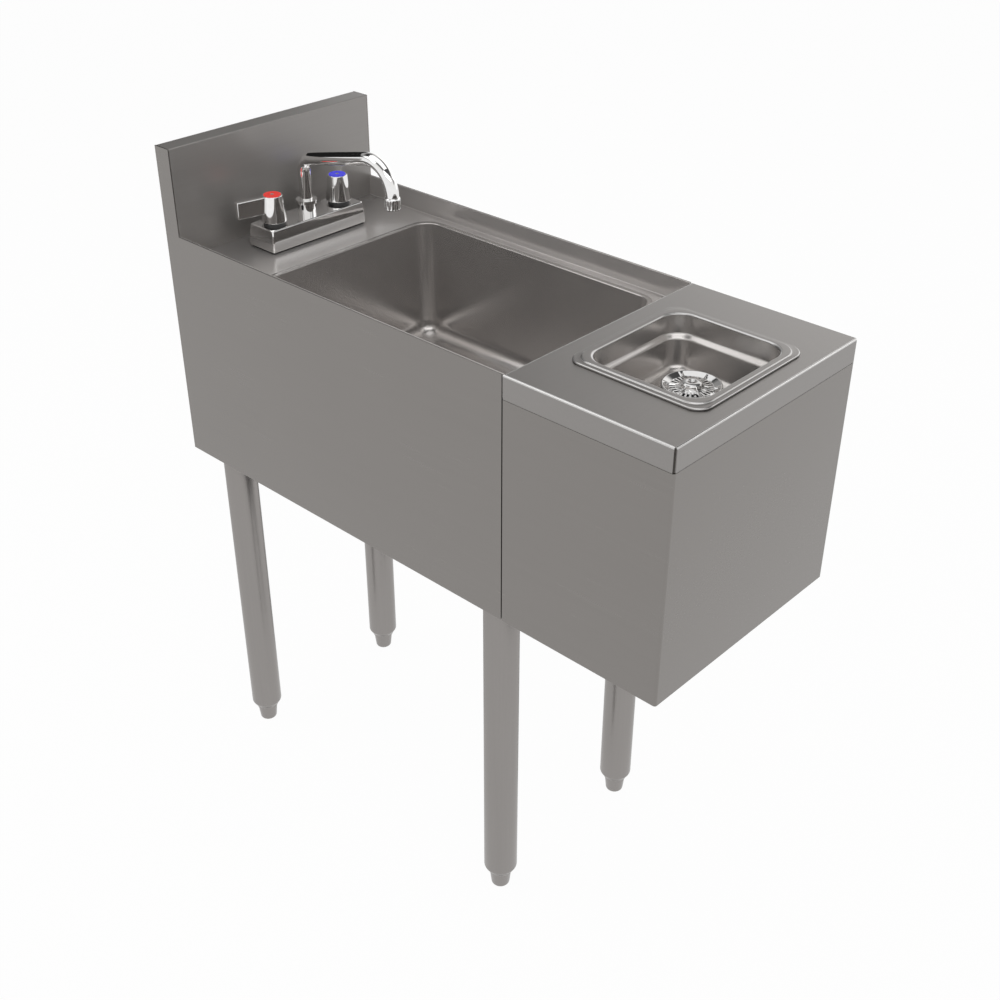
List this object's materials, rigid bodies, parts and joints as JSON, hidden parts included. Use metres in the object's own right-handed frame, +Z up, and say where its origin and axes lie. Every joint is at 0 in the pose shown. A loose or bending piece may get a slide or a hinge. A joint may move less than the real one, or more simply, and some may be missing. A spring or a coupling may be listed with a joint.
{
  "type": "glass rinser hand sink",
  "caption": "Narrow stainless underbar hand sink on tube legs, with backsplash, deep bowl, lever deck faucet with swing spout, and a glass rinser pan in a box at its front.",
  "frame": {"origin": "on the floor, under the middle of the outline", "axes": "+Z up, +Y towards the backsplash, +X to the right seen from the rinser end"},
  "size_m": [0.3048, 0.7478, 0.8521],
  "materials": {
    "brushed_sheet": "stainless sheet, brushed along its length",
    "drawn_sheet": "drawn stainless sheet, satin polished",
    "satin_tube": "stainless tube, satin",
    "mill_steel": "plain mill finish, not polished",
    "fastener_steel": "turned stainless",
    "chrome": "polished chrome plate",
    "brass": "machined brass",
    "rubber": "black moulded rubber",
    "screen_plastic": "moulded screen, matte",
    "hot_red": "moulded, glossy",
    "cold_blue": "moulded, glossy"
  },
  "bodies": {
    "sink": {"left_side_panel": "brushed_sheet", "right_side_panel": "brushed_sheet", "back_panel": "brushed_sheet", "front_panel": "brushed_sheet", "backsplash": "brushed_sheet", "sink_deck": "brushed_sheet", "rinser_box": "brushed_sheet", "rinser_cap": "brushed_sheet", "sink_bowl": "drawn_sheet", "rinser_pan": "drawn_sheet", "front_left_leg": "satin_tube", "front_right_leg": "satin_tube", "back_left_leg": "satin_tube", "back_right_leg": "satin_tube", "front_cross_channel": "mill_steel", "rear_cross_channel": "mill_steel", "cap_clips": "mill_steel", "foot_inserts": "mill_steel", "front_left_leg_socket": "mill_steel", "front_right_leg_socket": "mill_steel", "back_left_leg_socket": "mill_steel", "back_right_leg_socket": "mill_steel", "joint_bolts": "fastener_steel", "joint_nuts": "fastener_steel", "joint_spacers": "fastener_steel", "socket_set_screws": "fastener_steel", "rinser_spring": "fastener_steel", "faucet_shank_washers": "fastener_steel", "faucet_body": "chrome", "spout_nut": "chrome", "drain_strainer": "chrome", "drain_tailpiece": "chrome", "pan_drain": "chrome", "hot_cartridge": "brass", "cold_cartridge": "brass", "faucet_shanks": "brass", "shank_locknuts": "brass", "rinser_valve_body": "brass", "drain_locknut": "brass", "pan_drain_locknut": "brass", "drain_gasket": "rubber", "faucet_gasket": "rubber", "rinser_gasket": "rubber"},
    "spout": {"spout_tube": "chrome", "aerator": "chrome", "aerator_screen": "screen_plastic"},
    "hot_lever": {"hot_handle": "chrome", "hot_index": "hot_red", "hot_handle_screw": "fastener_steel", "hot_stem": "brass"},
    "cold_lever": {"cold_handle": "chrome", "cold_index": "cold_blue", "cold_handle_screw": "fastener_steel", "cold_stem": "brass"},
    "rinser_press": {"rinser_head": "chrome", "rinser_plunger": "brass"},
    "front_left_levelling_foot": {"front_left_foot": "satin_tube"},
    "front_right_levelling_foot": {"front_right_foot": "satin_tube"},
    "back_left_levelling_foot": {"back_left_foot": "satin_tube"},
    "back_right_levelling_foot": {"back_right_foot": "satin_tube"}
  },
  "joints": [
    {"name": "spout_swing", "type": "hinge", "parent": "sink", "child": "spout", "pos_m": [0, 0.2969, 0.751], "axis": [0, 0, 1], "range_deg": [-100, 100]},
    {"name": "hot_turn", "type": "hinge", "parent": "sink", "child": "hot_lever", "pos_m": [-0.0508, 0.2969, 0.751], "axis": [0, 0, 1], "range_deg": [0, 90]},
    {"name": "cold_turn", "type": "hinge", "parent": "sink", "child": "cold_lever", "pos_m": [0.0508, 0.2969, 0.751], "axis": [0, 0, 1], "range_deg": [-90, 0]},
    {"name": "rinser_push", "type": "slide", "parent": "sink", "child": "rinser_press", "axis": [0, 0, -1], "range_m": [0, 0.0055], "stiffness_N_per_m": 1500, "springref_m": -0.006, "deforming": ["rinser_spring"]},
    {"name": "front_left_foot_level", "type": "slide", "parent": "sink", "child": "front_left_levelling_foot", "axis": [0, 0, -1], "range_m": [0, 0.025]},
    {"name": "front_right_foot_level", "type": "slide", "parent": "sink", "child": "front_right_levelling_foot", "axis": [0, 0, -1], "range_m": [0, 0.025]},
    {"name": "back_left_foot_level", "type": "slide", "parent": "sink", "child": "back_left_levelling_foot", "axis": [0, 0, -1], "range_m": [0, 0.025]},
    {"name": "back_right_foot_level", "type": "slide", "parent": "sink", "child": "back_right_levelling_foot", "axis": [0, 0, -1], "range_m": [0, 0.025]}
  ]
}
